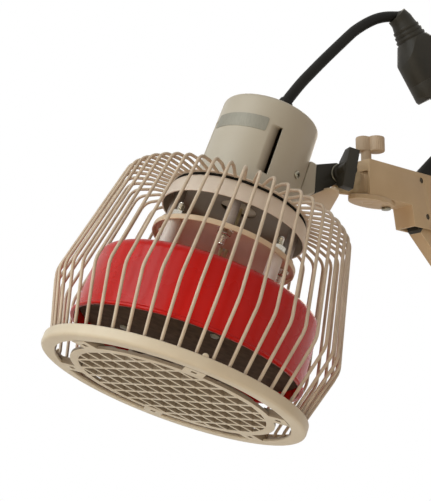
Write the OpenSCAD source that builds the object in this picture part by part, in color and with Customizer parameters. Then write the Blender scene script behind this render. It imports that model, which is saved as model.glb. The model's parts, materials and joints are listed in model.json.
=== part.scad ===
// Heat lamp head on a folding arm, in millimetres.
// Origin: shoulder of the stand spigot, on its axis. +Z is up.
// The lamp tilts about a bolt along Y and leans to +X as drawn.

/* [Stand and arm] */
// Diameter of the spigot that drops into the floor stand
spigot_d = 16; // [12:1:20]
// Length of the spigot
spigot_len = 40; // [25:1:60]
// Height of the lower shoulder pin above the spigot's shoulder
shoulder_h = 24; // [22:1:32]
// Thickness of the shoulder's foot
foot_t = 8; // [6:0.5:10]
// Length of the arm between its pins
arm_len = 150; // [110:5:240]
// Drop of the arm below level, as drawn
arm_drop = 41; // [36:1:46]
// Turn of the arm about the stand, as drawn
arm_turn = 20.2; // [18:0.2:24]
// Width of the arm channel
arm_w = 12; // [10:0.5:13]
// Depth of the arm below its pins
arm_below = 13.5; // [11:0.5:14]
// Depth of the arm above its pins
arm_above = 6; // [4:0.5:6.5]
// Sheet thickness of the arm channel
arm_sheet = 1.6; // [1:0.2:2.4]
// Width of the tie bar
tie_w = 8; // [6:0.5:10]
// Half depth of the tie bar
tie_half = 3.8; // [3.2:0.1:4]
// Diameter of the pins in the arm and the tie bar
pin_d = 5; // [4:0.25:5.5]

/* [Knuckle] */
// Length of the knuckle box
knuckle_len = 85; // [82:1:92]
// Width of the knuckle box
knuckle_w = 20.5; // [19.5:0.5:26]
// Height of the knuckle box
knuckle_h = 29.2; // [28:0.2:32]
// Sheet thickness of the knuckle
knuckle_sheet = 2; // [1.5:0.1:2.2]
// Depth of the rear lug below the top face
lug_h = 46.2; // [44:0.2:52]
// Distance of the lug's front wall from the front face
lug_from = 54; // [50:0.5:55]
// Height of the front plate
front_plate_h = 9; // [6:0.5:12.5]
// Distance of the lower pin from the front face
low_pin_x = 71; // [70:0.5:72]
// Depth of the lower pin below the top face
low_pin_z = 35.9; // [35:0.1:38]
// Distance of the upper pin from the front face
high_pin_x = 64.3; // [62:0.1:66]
// Depth of the upper pin below the top face
high_pin_z = 6.2; // [6.1:0.1:7.2]
// Distance of the swivel axis from the front face
swivel_x = 8; // [8:0.5:10]
// Diameter of the swivel barrel
barrel_d = 13; // [11:0.5:14]
// Diameter of the stub under the barrel
stub_d = 8; // [6:0.5:10]
// Thickness of the leaf plate
leaf_t = 4; // [3:0.5:6]
// Width of the leaf plate
leaf_w = 22.8; // [20:0.2:24]
// Reach of the leaf's nose in front of the front face
leaf_nose = 11.7; // [10:0.1:14]
// Distance of the leaf's rear end from the front face
leaf_end = 37.5; // [34:0.5:40]
// Diameter of the wing screw's collar
screw_collar_d = 8.4; // [7:0.2:9.6]
// Height of the wing screw's collar
screw_collar_h = 8.7; // [5:0.1:12]
// Height of the wing screw's lobes
screw_head_h = 12.5; // [9:0.5:16]
// Diameter of the smaller lobe
screw_lobe_d = 11; // [10:0.2:12]

/* [Hinge] */
// Reach of the hinge bolt in front of the swivel axis
hinge_reach = 30; // [29:0.5:33]
// Depth of the hinge bolt below the knuckle's top face
hinge_drop = 15.6; // [15.4:0.1:16.4]
// Lean of the lamp, as drawn
tilt = 20.4; // [16:0.2:24]
// Diameter of the hinge bolt
bolt_d = 6; // [5:0.5:8]
// Radius of the ear's quarter disc
ear_r = 23; // [20:0.5:23.5]
// Thickness of the ear
ear_t = 3; // [2.5:0.5:4]
// Thickness of each friction disc
disc_t = 1.8; // [1:0.2:2.4]
// Thickness of the hinge block's tongue
block_t = 5.5; // [4.5:0.5:7]
// Diameter of the washer under the knob
washer_d = 16; // [13:1:20]
// Thickness of the washer under the knob
washer_t = 1.2; // [0.8:0.2:2]
// Length of the knob's wing
knob_len = 32; // [26:1:33]
// Thickness of the knob's wing
knob_wing_t = 9; // [6:0.5:11]
// Depth of the knob
knob_depth = 18; // [15:1:22]
// Diameter of the knob's hub
knob_hub_d = 15; // [12:1:18]

/* [Neck] */
// Radius of the neck at its foot
neck_foot_r = 40.2; // [39.5:0.1:41.5]
// Radius of the neck under its rounded top edge
neck_top_r = 38.7; // [37.5:0.1:39.4]
// Height of the neck
neck_h = 79.8; // [74:0.2:90]
// Wall of the neck
neck_wall = 2.2; // [1.4:0.2:3]
// Radius of the neck's rounded top edge
neck_round = 3; // [2:0.5:5]
// Width of each vent slot
slot_w = 4.8; // [3:0.2:7]
// Height of each vent slot
slot_h = 40; // [24:1:46]
// Height of the slots' lower ends above the neck's foot
slot_from = 18; // [12:1:22]
// Width of the blank label round the neck
label_w = 48; // [30:1:60]
// Height of the blank label
label_h = 11.5; // [8:0.5:14]
// Outer diameter of the lead
lead_d = 9; // [7:0.5:9.5]

/* [Cage and guard] */
// Number of cage wires
wire_count = 50; // [36:1:54]
// Diameter of a cage wire
wire_d = 2.5; // [2:0.1:2.8]
// Radius of the cage wires where they swell most
cage_wide_r = 110; // [106:0.5:114]
// Height of that widest point above the ring's underside
cage_wide_z = 53.8; // [46:0.2:62]
// Radius of the cage's shoulder
cage_shoulder_r = 89.2; // [84:0.2:94]
// Outer radius of the bottom ring
ring_r = 101.5; // [100:0.5:108]
// Height of the bottom ring
ring_h = 8.9; // [8.5:0.1:12]
// Wall of the bottom ring
ring_wall = 3; // [2:0.2:3.2]
// Thickness of the ring's inner flange
flange_t = 2.2; // [1.6:0.2:3]
// Inner radius of the ring's flange
flange_r = 90.5; // [90:0.5:91]
// Outer radius of the lattice grille's rim
grille_r = 78.5; // [76:0.5:82]
// Width of the grille's rim
grille_rim = 6.5; // [4:0.5:8]
// Pitch of the lattice
lattice_pitch = 14.5; // [12:0.5:20]
// Width of a lattice bar
lattice_bar = 2.8; // [2.4:0.2:4.4]
// Depth of the lattice
lattice_t = 5; // [3.5:0.5:7]

/* [Heater] */
// Height of the shell's rim above the ring's underside
shell_z = 29.5; // [26:0.5:34]
// Height of the shell
shell_h = 54.5; // [50:0.5:56]
// Radius of the shell's rim
shell_rim_r = 90; // [88:0.5:92]
// Radius of the shell under its rounded shoulder
shell_top_r = 86.5; // [84:0.5:87]
// Radius of the shell's rounded shoulder
shell_round = 8; // [5:0.5:10]
// Sheet thickness of the shell
shell_sheet = 1.2; // [0.8:0.1:1.6]
// Recess of the mineral plate above the shell's rim
plate_recess = 8.5; // [6:0.5:10]
// Thickness of the mineral plate
plate_t = 4; // [3:0.5:5]
// Radius of the heat shield
shield_r = 56.5; // [54:0.5:60]
// Height of the posts between the shell and the heat shield
low_post_h = 32.8; // [26:0.2:36]
// Height of the posts between the heat shield and the dish
high_post_h = 33.8; // [28:0.2:37]
// Radius of the dish
dish_r = 57; // [56.6:0.1:60]
// Depth of the dish
dish_h = 16; // [12:0.5:18]

/* [Hidden] */
$fn = 96;
run_gap = 0.05;   // radial clearance of a turning pin
seat_gap = 0.3;   // clearance between pieces that move past each other
slip_gap = 0.02;  // clearance of a piece pressed into its seat

// Places along the chain, from the spigot to the hinge
arm_dir = [cos(arm_turn), sin(arm_turn), 0];
up = [0, 0, 1];
shoulder_low = [0, 0, shoulder_h];
knuckle_low = shoulder_low + arm_len * (sin(arm_drop) * up - cos(arm_drop) * arm_dir);
pin_step = [high_pin_x - low_pin_x, 0, low_pin_z - high_pin_z];
knuckle_at = knuckle_low - low_pin_x * arm_dir + low_pin_z * up;
swivel_at = knuckle_at + swivel_x * arm_dir;
hinge_at = swivel_at + [-hinge_reach, 0, -hinge_drop];
knuckle_in = knuckle_w / 2 - knuckle_sheet;  // half width inside the knuckle
boss_half = knuckle_in - 0.25;               // half length of the pins' bosses

// The hinge bolt in the lamp's own frame: z along the lamp's axis, 0 under the ring
hinge_x = 64.44;
hinge_z = 211.39;

// Stack along the hinge bolt, measured from its middle plane towards -Y
ear_far = -1.4;
ear_near = ear_far - ear_t;
ear_low = knuckle_h - hinge_drop - seat_gap - 0.1;  // bottom of the ear, clear of the leaf
ear_top = front_plate_h < hinge_drop ? hinge_drop - front_plate_h - 1.1 : 0.5;  // top of the quarter disc
ear_eye = 8.2;                                       // radius of the ear round the bolt
block_far = ear_near - disc_t - seat_gap;
block_near = block_far - block_t;
washer_far = block_near - seat_gap;
washer_near = washer_far - washer_t;
knob_far = washer_near;
knob_near = knob_far - knob_depth;
bolt_head_t = 5;

// Heights along the lamp's axis
shell_top = shell_z + shell_h;
shield_sheet = 1.2;
shield_low = shell_top + low_post_h;       // underside of the shield's plate
shield_top = shield_low + shield_sheet;
dish_sheet = 1.2;
dish_top = shield_top + high_post_h + dish_sheet;
neck_z = dish_top;
neck_top = neck_z + neck_h;
plate_z = shell_z + plate_recess;
plate_top = plate_z + plate_t;
coil_d = 3.4;
former_z = plate_top + coil_d + 0.2;
former_t = 12.4;

pad_z = former_z + former_t + 0.2;

core_r = 14;                               // hole for the inner leads
collar_in = neck_foot_r + 3.8;
collar_out = dish_r - 1;
collar_t = 2.4;
shell_wall_r = shell_rim_r - 1.7;          // radius just above the rolled rim
shell_taper = (shell_top_r - shell_wall_r) / (shell_h - shell_round - 3);
plate_r = shell_wall_r + shell_taper * (plate_top - shell_z - 3) - shell_sheet - 0.8;
former_r = min(plate_r, shell_top_r) - 14;
pad_r = former_r + 2;
low_post_d = 10.5;
low_post_ring = shield_r - low_post_d / 2 - 1.5;
low_post_turn = [-162, -57, 18, 123];
high_post_d = 9;
high_post_ring = min(shield_r, dish_r) - 10.5;
high_post_turn = [-111, -19.5, 69, 160.5];
tab_turn = [20, 80, 140, 200, 260, 320];
tab_t = 3;
tab_r = flange_r + 3.6;
hoop_d = 3;
hoop_r = ring_r - ring_wall - hoop_d / 2 - 0.8;
wire_first = -88.3;
bracket_low = 181;
bracket_top = 210;
label_turn = -143;
label_z = 208.7;
gland_lean = 16.5;

// Route of the lamp's lead, from the gland to the plug's boot, from the swivel's top
head_route = [
    [-83, 0, 24.5], [-77, 0, 32.7], [-67.3, 0.6, 46.1], [-56, 1.5, 60.4], [-45.8, 2.4, 71.7],
    [-34.9, 3.4, 83.4], [-26.5, 4.3, 92.1], [-18.2, 5.2, 100.6], [-7, 6.8, 111.9], [-1.3, 7.6, 116.9],
    [7.4, 8.8, 123.4], [16.1, 10, 128.8], [22.4, 10.8, 131.8], [28.5, 11.5, 133.9], [34.1, 12, 135.2],
    [40.4, 12, 136.1]
];
lead_rise = 8.1;                // slope of that lead where it goes into the boot
// Route of the arm's lead, from the knuckle's grommet to the socket
arm_route = [
    [63.9, 22.2, 0.5], [67.2, 22.1, 4.3], [70.4, 22, 8.1], [73.7, 21.9, 11.9], [76.9, 21.8, 15.7],
    [80.3, 21.5, 19.6], [83.6, 20.7, 24.1], [86.3, 19.5, 29.3], [88.2, 18, 34.9], [89.2, 16.4, 40.6],
    [89.2, 14.8, 46.5], [88.3, 13.5, 52.3], [86.6, 12.5, 57.9], [84.3, 12, 62.6]
];
plug_at = [39, 12, 136.6];      // middle of the boot's mouth, from the swivel's top
boot_dip = 41;                  // slope of the boot's mouth below level
boot_mouth = 7;                 // length of that sloping part
boot_mouth_d = 17.6;
plug_dip = 60;                  // slope of the connector below level
boot_len = 17.6;
boot_end_d = 25.5;
plug_w = 46;
plug_d = 27;
plug_len = 36.2;
socket_len = 14.8;
tail_len = 12;

// Helpers

function unit(v) = v / norm(v);

// Points on the arc of radius r that rounds the corner b between a and c
function fillet(a, b, c, r, steps) =
    let (
        u = unit(a - b),
        w = unit(c - b),
        half = acos(u * w) / 2,
        middle = b + r / sin(half) * unit(u + w),
        from = b + r / tan(half) * u - middle,
        to = b + r / tan(half) * w - middle,
        turn = acos(unit(from) * unit(to))
    )
    [for (i = [0:steps]) middle + (sin(turn * (1 - i / steps)) * from + sin(turn * i / steps) * to) / sin(turn)];

// Directions along a route, and normals carried from ring to ring without twist
function headings(p) = [for (i = [0:len(p) - 1]) unit(p[min(i + 1, len(p) - 1)] - p[max(i - 1, 0)])];
function carried(t, last, i = 0) =
    i >= len(t) ? [] : let (n = unit(last - (last * t[i]) * t[i])) concat([n], carried(t, n, i + 1));

// Round tube along a route
module tube(route, d, sides) {
    t = headings(route);
    n = carried(t, [0, 1, 0]);
    last = len(route) - 1;
    points = [
        for (i = [0:last], k = [0:sides - 1])
            route[i] + d / 2 * (cos(360 * k / sides) * n[i] + sin(360 * k / sides) * cross(t[i], n[i]))
    ];
    walls = [
        for (i = [0:last - 1], k = [0:sides - 1])
            let (a = i * sides + k, b = i * sides + (k + 1) % sides)
            each [[a, a + sides, b + sides], [a, b + sides, b]]
    ];
    caps = [
        [for (k = [0:sides - 1]) k],
        [for (k = [0:sides - 1]) (last + 1) * sides - 1 - k]
    ];
    polyhedron(points, concat(walls, caps));
}

// Cylinder along Y from y0 to y1
module bar_y(r, y0, y1) {
    translate([0, y0, 0]) rotate([-90, 0, 0]) cylinder(r = r, h = y1 - y0);
}

// Flat shape in X and Z, drawn out along Y from y0 to y1
module slab_y(points, y0, y1) {
    translate([0, y1, 0]) rotate([90, 0, 0]) linear_extrude(y1 - y0) polygon(points);
}

// Hexagon of a given width across its corners
module hexagon(r, h) {
    cylinder(r = r, h = h, $fn = 6);
}

// Copies of a piece at radius r and at each of the turns about the lamp's axis
module round_axis(r, turns) {
    for (a = turns) rotate([0, 0, a]) translate([r, 0, 0]) children();
}

// Frames of the moving pieces, as drawn
module at_shoulder() { rotate([0, 0, arm_turn]) children(); }
module at_arm() { translate(knuckle_low) rotate([0, 0, arm_turn]) rotate([0, arm_drop, 0]) children(); }
module at_knuckle() { translate(knuckle_at) rotate([0, 0, arm_turn]) children(); }
module at_swivel() { translate(swivel_at) children(); }
module at_hinge() { translate(hinge_at) children(); }
module at_lamp() { translate(hinge_at) rotate([0, tilt, 0]) translate([-hinge_x, 0, -hinge_z]) children(); }

// Stand and arm

module stand_spigot() {
    color("silver") {
        translate([0, 0, -spigot_len]) cylinder(d1 = spigot_d - 2, d2 = spigot_d, h = 1);
        translate([0, 0, 1 - spigot_len]) cylinder(d = spigot_d, h = spigot_len - 1);
        cylinder(d = spigot_d - 6, h = foot_t - 1);
    }
}

module shoulder_bracket() {
    half = knuckle_w / 2;
    tip_x = pin_step[0];
    tip_z = shoulder_h + pin_step[2];
    cheek = [
        [-14, 0], [14, 0], [14, foot_t], [8, shoulder_h], [tip_x + 8, tip_z],
        [tip_x + 4, tip_z + 7], [tip_x - 4, tip_z + 7], [tip_x - 8, tip_z], [-11, shoulder_h]
    ];
    color("wheat") at_shoulder() difference() {
        union() {
            slab_y(cheek, -half, -knuckle_in);
            slab_y(cheek, knuckle_in, half);
            translate([-14, -half, 0]) cube([28, 2 * half, foot_t]);
        }
        translate([0, 0, -1]) cylinder(d = spigot_d - 6 + 2 * slip_gap, h = foot_t + 2);
        translate([0, 0, shoulder_h]) bar_y(pin_d / 2 + slip_gap, -half - 1, half + 1);
        translate([tip_x, 0, tip_z]) bar_y(pin_d / 2 + slip_gap, -half - 1, half + 1);
    }
}

// Two pins right through a pair of cheeks
module cheek_pins(low, high) {
    half = knuckle_w / 2 - 0.6;
    color("dimgray") {
        translate(low) bar_y(pin_d / 2, -half, half);
        translate(high) bar_y(pin_d / 2, -half, half);
    }
}

module shoulder_pins() {
    low = [0, 0, shoulder_h];
    at_shoulder() cheek_pins(low, low + pin_step);
}

// Bosses at both ends of a link
module link_bosses(r) {
    for (x = [0, arm_len]) translate([x, 0, 0]) bar_y(r, -boss_half, boss_half);
}

module link_bores() {
    for (x = [0, arm_len]) translate([x, 0, 0]) bar_y(pin_d / 2 + run_gap, -knuckle_w, knuckle_w);
}

arm_nose_end = 5;               // where the black end piece meets the channel

module arm_channel() {
    end = 7;
    side = [
        [arm_nose_end, arm_above], [arm_len + end - 2, arm_above], [arm_len + end, 2],
        [arm_len + end, -5], [arm_len - 4, -8], [arm_len - 20, -arm_below], [arm_nose_end, -arm_below]
    ];
    hollow = [
        [14, arm_sheet - arm_below], [14, arm_above + 1], [arm_len - 24, arm_above + 1],
        [arm_len - 24, arm_sheet - arm_below]
    ];
    color("wheat") at_arm() difference() {
        union() {
            slab_y(side, -arm_w / 2, arm_w / 2);
            translate([arm_len, 0, 0]) bar_y(pin_d / 2 + 2, -boss_half, boss_half);
        }
        slab_y(hollow, arm_sheet - arm_w / 2, arm_w / 2 - arm_sheet);
        link_bores();
    }
}

module arm_nose() {
    end = 7;
    side = [
        [-end, 2], [2 - end, arm_above], [arm_nose_end, arm_above], [arm_nose_end, -arm_below],
        [2, -arm_below], [-end, -6]
    ];
    color("black") at_arm() difference() {
        union() {
            slab_y(side, -arm_w / 2, arm_w / 2);
            bar_y(pin_d / 2 + 2, -boss_half, boss_half);
        }
        link_bores();
    }
}

module tie_bar() {
    color("tan") translate(arm_turned(pin_step)) at_arm() difference() {
        union() {
            translate([0, -tie_w / 2, -tie_half]) cube([arm_len, tie_w, 2 * tie_half]);
            link_bosses(tie_half);
        }
        link_bores();
    }
}

// A step given along the arm's own direction, in the common frame
function arm_turned(v) = [v[0] * cos(arm_turn), v[0] * sin(arm_turn), v[2]];

// Knuckle

module knuckle_box() {
    half = knuckle_w / 2;
    corner = 5;
    lug_lean = 3;
    top_end = knuckle_len - corner;
    rear_arc = [for (a = [90:-15:0]) [top_end + corner * cos(a), corner * sin(a) - corner]];
    side = concat(
        [[0, 0]], rear_arc,
        [[knuckle_len, -lug_h], [lug_from, -lug_h], [lug_from - lug_lean, -knuckle_h], [0, -knuckle_h]]
    );
    inside = [
        [knuckle_sheet, -knuckle_sheet], [knuckle_len + 1, -knuckle_sheet], [knuckle_len + 1, -lug_h - 1],
        [lug_from + knuckle_sheet, -lug_h - 1], [lug_from + knuckle_sheet - lug_lean, knuckle_sheet - knuckle_h],
        [knuckle_sheet, knuckle_sheet - knuckle_h]
    ];
    mouth = swivel_x + barrel_d / 2 + 4;
    color("wheat") at_knuckle() difference() {
        union() {
            difference() {
                slab_y(side, -half, half);
                slab_y(inside, -knuckle_in, knuckle_in);
                translate([-1, -knuckle_in, -knuckle_h - 1])
                    cube([mouth + 1, 2 * knuckle_in, knuckle_h + 1 - front_plate_h]);
            }
            intersection() {
                translate([swivel_x, 0, -knuckle_sheet - 6]) cylinder(d = barrel_d + 6, h = 6.5);
                translate([0, -half, -knuckle_h]) cube([mouth + 4, knuckle_w, knuckle_h]);
            }
        }
        translate([swivel_x, 0, -front_plate_h - 1])
            cylinder(d = barrel_d + 2 * run_gap, h = front_plate_h + 1 - knuckle_sheet);
        at_grommet() translate([0, 0, -12]) cylinder(d = lead_d + 1, h = 20);
        translate([swivel_x, 0, -knuckle_sheet - 1]) cylinder(d = 6 + 2 * run_gap, h = knuckle_sheet + 2);
        translate([low_pin_x, 0, -low_pin_z]) bar_y(pin_d / 2 + slip_gap, -half - 1, half + 1);
        translate([high_pin_x, 0, -high_pin_z]) bar_y(pin_d / 2 + slip_gap, -half - 1, half + 1);
    }
}

module knuckle_pins() {
    at_knuckle() cheek_pins([low_pin_x, 0, -low_pin_z], [high_pin_x, 0, -high_pin_z]);
}

leaf_top = -knuckle_h;
leaf_screw_x = leaf_end - 7;

// Oval plate under the knuckle
module leaf_plate() {
    middle = (leaf_end - leaf_nose) / 2;
    color("tan") at_knuckle() translate([0, 0, leaf_top - leaf_t]) difference() {
        translate([middle, 0, 0]) linear_extrude(leaf_t) scale([1, leaf_w / (leaf_end + leaf_nose)])
            circle(d = leaf_end + leaf_nose);
        translate([swivel_x, 0, -1]) cylinder(d = stub_d + 2 * run_gap, h = leaf_t + 2);
        translate([leaf_screw_x, 0, -1]) cylinder(d = 4 + 2 * slip_gap, h = leaf_t + 2);
    }
}

module leaf_screw() {
    color("silver") at_knuckle() translate([leaf_screw_x, 0, leaf_top - leaf_t]) {
        cylinder(d = 4, h = leaf_t);
        translate([0, 0, -2]) cylinder(d = 7.5, h = 2);
    }
}

grommet_x = 75.24;
grommet_y = -1.07;
grommet_lean = 40.6;
grommet_turn = -22;

// Frame of the lead where it leaves the knuckle's top
module at_grommet() {
    translate([grommet_x, grommet_y, 0]) rotate([0, grommet_lean, grommet_turn]) rotate([0, 0, 90]) children();
}

module lead_grommet() {
    color("black") at_knuckle() difference() {
        intersection() {
            at_grommet() translate([0, 0, -9]) cylinder(d1 = lead_d + 5, d2 = lead_d + 2, h = 30);
            translate([grommet_x - 40, -40, 0]) cube(80);
        }
        at_grommet() translate([0, 0, -25]) cylinder(d = lead_d + 0.8, h = 70);
    }
}

// Clamp screw with a small lobe over its collar and a larger one beside it
module wing_screw() {
    lobe = screw_lobe_d / 2;
    head_z = seat_gap + screw_collar_h;
    color("wheat") at_swivel() {
        translate([0, 0, -knuckle_sheet]) cylinder(d = 6, h = knuckle_sheet + 1);
        translate([0, 0, seat_gap]) cylinder(d = screw_collar_d, h = screw_collar_h + 1);
        translate([0, 0, head_z]) linear_extrude(screw_head_h) rotate(-21) {
            circle(r = 0.82 * lobe);
            translate([-0.49 * lobe, 0]) circle(r = lobe);
            translate([1.56 * lobe, 0]) circle(r = 1.2 * lobe);
        }
    }
}

// Hinge

// Round eye at the bolt and a quarter disc towards the swivel
module ear_plate(eye, r, low, y0, y1) {
    bar_y(eye, y0, y1);
    intersection() {
        bar_y(r, y0, y1);
        translate([0, y0, -low]) cube([r, y1 - y0, low + ear_top]);
    }
}

module swivel_ear() {
    stub_z = hinge_drop - knuckle_h;
    barrel_top = hinge_drop - knuckle_sheet - seat_gap;
    stub_end = hinge_drop + leaf_top - leaf_t;
    color("wheat") at_hinge() difference() {
        union() {
            ear_plate(ear_eye, ear_r, ear_low, ear_near, ear_far);
            ear_plate(ear_eye, ear_r + 2.2, ear_low, ear_far - ear_t / 2, ear_far);
            translate([0, ear_near, 2 - ear_low]) cube([hinge_reach, ear_t, ear_low + ear_top - 2]);
            translate([hinge_reach, 0, stub_z + seat_gap]) cylinder(d = barrel_d, h = barrel_top - stub_z - seat_gap);
            translate([hinge_reach, 0, stub_end]) cylinder(d = stub_d, h = stub_z - stub_end + 1);
        }
        bar_y(bolt_d / 2 + slip_gap, ear_near - 1, ear_far + 1);
    }
}

// Lining with the ear's outline, a little smaller
module friction_disc(y0) {
    difference() {
        ear_plate(ear_eye - 0.4, ear_r - 1.6, ear_low - 1, y0, y0 + disc_t);
        bar_y(bolt_d / 2 + slip_gap, y0 - 1, y0 + disc_t + 1);
    }
}

module friction_discs() {
    color("dimgray") at_hinge() {
        friction_disc(ear_near - disc_t);
        difference() {
            bar_y(ear_eye - 0.4, ear_far, ear_far + disc_t);
            bar_y(bolt_d / 2 + slip_gap, ear_far - 1, ear_far + disc_t + 1);
        }
    }
}

module pivot_bolt() {
    head_y = ear_far + disc_t;
    color("silver") at_hinge() {
        bar_y(bolt_d / 2, knob_near + 4, head_y);
        translate([0, head_y, 0]) rotate([-90, 0, 0]) hexagon(bolt_d * 0.95, bolt_head_t);
    }
}

module pivot_washer() {
    color("gainsboro") at_hinge() difference() {
        bar_y(washer_d / 2, washer_near, washer_far);
        bar_y(bolt_d / 2 + run_gap, washer_near - 1, washer_far + 1);
    }
}

// Wing that flares from the hub towards the front
module wing_knob() {
    half = knob_len / 2;
    hub_t = 4;
    root = knob_far - hub_t + 1;
    flare = [
        [-half, knob_near], [half, knob_near], [half, knob_near + 8], [7.5, root], [-7.5, root],
        [-half, knob_near + 8]
    ];
    color("black") at_hinge() rotate([0, 12, 0]) difference() {
        union() {
            bar_y(knob_hub_d / 2, knob_far - hub_t, knob_far);
            bar_y(knob_hub_d / 2 - 1.5, knob_near + 2, knob_far - hub_t + 1);
            rotate([0, -90, 0]) translate([0, 0, -knob_wing_t / 2]) linear_extrude(knob_wing_t) polygon(flare);
        }
        bar_y(bolt_d / 2 + run_gap, knob_near + 3, knob_far + 1);
    }
}

// Lamp neck

function neck_r(z) = neck_foot_r + (neck_top_r - neck_foot_r) * (z - neck_z) / (neck_h - neck_round);

module head_bracket() {
    saddle = [
        [30, bracket_top - 1], [42.7, bracket_top - 1.2], [48.9, 186], [43.6, bracket_low], [30, bracket_low]
    ];
    plate = [
        [44, block_far + seat_gap], [52, block_far + seat_gap], [52, block_near - 0.2], [58, block_near - 0.2],
        [58, -23], [64, -22.5], [68, -15], [78, 20], [76, 26], [44, 26]
    ];
    color("wheat") at_lamp() difference() {
        union() {
            slab_y(saddle, -15, 15);
            translate([0, 0, 192]) linear_extrude(2.5) polygon(plate);
        }
        translate([0, 0, neck_z]) cylinder(r1 = neck_foot_r, r2 = neck_r(neck_top), h = neck_h);
        translate([0.2, 0, -0.2]) slab_y(block_tongue, block_near - 0.1, block_far + 0.1);
    }
}

// Outline of the block's tongue in the lamp's frame
block_tongue = [
    [43.1, 209.4], [58.5, 218.5], [hinge_x, hinge_z + 8], [hinge_x, hinge_z - 8], [59.7, 196.9], [49.1, 186.4]
];

// Black block: a root on the saddle and a tongue round the bolt
module hinge_block() {
    root = [[43.1, 209.4], [51.5, 214.2], [51.5, 194.8], [46.9, 194.8]];
    color("black") at_lamp() difference() {
        union() {
            slab_y(root, block_near, 10);
            slab_y(block_tongue, block_near, block_far);
            translate([hinge_x, 0, hinge_z]) bar_y(8, block_near, block_far);
        }
        translate([hinge_x, 0, hinge_z]) bar_y(bolt_d / 2 + run_gap, block_near - 1, 11);
    }
}

// Two screws that hold the block to the saddle, heads on the block's root
module bracket_screws() {
    color("silver") at_lamp() for (y = [0, 6])
        translate([51.5, y, 208]) rotate([0, 90, 0]) hexagon(2.6, 2);
}

neck_slots = [-93.5, 176.5, 86.5];

module neck_housing() {
    inner_top = neck_top - neck_wall;
    edge = [for (a = [0:15:90])
        [neck_top_r - neck_round + neck_round * cos(a), neck_top - neck_round + neck_round * sin(a)]];
    outline = concat(
        [[neck_foot_r, neck_z]], edge,
        [[0, neck_top], [0, inner_top], [neck_top_r - neck_wall - 1, inner_top], [neck_foot_r - neck_wall, neck_z]]
    );
    color("ivory") at_lamp() difference() {
        rotate_extrude() polygon(outline);
        for (a = neck_slots) rotate([0, 0, a]) translate([20, -slot_w / 2, neck_z + slot_from])
            cube([40, slot_w, slot_h]);
        cylinder(d = lead_d + 8, h = neck_top + 1);
    }
}

neck_screw_z = 185.3;
neck_slope = atan((neck_foot_r - neck_top_r) / (neck_h - neck_round));

module neck_screws() {
    color("silver") at_lamp() for (a = [-51.6, 51.6]) rotate([0, 0, a])
        translate([neck_r(neck_screw_z), 0, neck_screw_z]) rotate([0, 90 - neck_slope, 0])
            translate([0, 0, 0.02]) cylinder(d1 = 6.4, d2 = 5, h = 1.6);
}

module cord_gland() {
    color("black") at_lamp() translate([1.3, 0, neck_top]) difference() {
        union() {
            cylinder(d = lead_d + 11, h = 1.5);
            intersection() {
                rotate([0, gland_lean, 0]) translate([0, 0, -4]) cylinder(d1 = lead_d + 6, d2 = lead_d + 2.4, h = 24);
                translate([-30, -30, 0]) cube(60);
            }
        }
        rotate([0, gland_lean, 0]) translate([0, 0, -10]) cylinder(d = lead_d + 1, h = 40);
    }
}

module blank_label() {
    span = label_w / neck_r(label_z) * 180 / PI;
    low = label_z - label_h / 2;
    high = label_z + label_h / 2;
    proud = 0.3;
    color("silver") at_lamp() rotate([0, 0, label_turn - span / 2]) rotate_extrude(angle = span)
        polygon([
            [neck_r(low), low], [neck_r(low) + proud, low], [neck_r(high) + proud, high], [neck_r(high), high]
        ]);
}

module terminal_block() {
    color("white") at_lamp() translate([-core_r - 4, -8, dish_top]) cube([2 * core_r + 8, 16, 14]);
}

module inner_leads() {
    color("khaki") at_lamp() for (x = [-2, 2]) translate([x, 0, former_z + former_t])
        cylinder(d = 2.6, h = dish_top - former_z - former_t);
}

module thermal_fuse() {
    color("silver") at_lamp() translate([18, 12, shield_top + 3]) rotate([0, 90, 0]) cylinder(d = 6, h = 18);
}

// Cage and guard

module cage_collar() {
    color("ivory") at_lamp() translate([0, 0, dish_top]) difference() {
        cylinder(r = collar_out, h = collar_t);
        translate([0, 0, -1]) cylinder(r = collar_in, h = collar_t + 2);
    }
}

// Wire in its own plane: x is the radius, z the height
wire_foot = [hoop_r, 0, flange_t + hoop_d + 0.15];
wire_lip = [hoop_r + 0.4, 0, ring_h + 0.6];
wire_wide = [cage_wide_r, 0, cage_wide_z];
wire_shoulder = [cage_shoulder_r, 0, dish_top - 2.7];
wire_crown = [collar_out + 16, 0, dish_top + 1.2];
wire_end = [collar_out + 0.42, 0, dish_top + collar_t / 2];
wire_route = concat(
    [wire_foot, wire_lip],
    fillet(wire_lip, wire_wide, wire_shoulder, 19, 3),
    fillet(wire_wide, wire_shoulder, wire_crown, 10, 4),
    fillet(wire_shoulder, wire_crown, wire_end, 12, 1),
    [wire_end]
);

module cage_wires() {
    color("ivory") at_lamp() for (i = [0:wire_count - 1]) rotate([0, 0, wire_first + 360 * i / wire_count])
        tube(wire_route, wire_d, 7);
}

module cage_hoop() {
    color("ivory") at_lamp() translate([0, 0, flange_t + hoop_d / 2]) rotate_extrude()
        translate([hoop_r, 0]) circle(d = hoop_d, $fn = 24);
}

module guard_ring() {
    round_r = 1.4;
    inner = ring_r - ring_wall;
    low = [for (a = [-90:18:0]) [ring_r - round_r + round_r * cos(a), round_r + round_r * sin(a)]];
    high = [for (a = [0:18:90]) [ring_r - round_r + round_r * cos(a), ring_h - round_r + round_r * sin(a)]];
    outline = concat(low, high, [[inner, ring_h], [inner, flange_t], [flange_r, flange_t], [flange_r, 0]]);
    color("ivory") at_lamp() rotate_extrude() polygon(outline);
}

// Half-round lugs on the ring's top edge
module ring_clips() {
    r = 2.3;
    color("ivory") at_lamp() for (a = [-99.1, 20.9, 140.9]) rotate([0, 0, a])
        translate([ring_r - ring_wall + 0.5, 0, ring_h]) intersection() {
            rotate([0, 90, 0]) cylinder(r = r, h = ring_wall - 1.8);
            translate([-1, -r, 0]) cube([ring_wall + 2, 2 * r, r]);
        }
}

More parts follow.
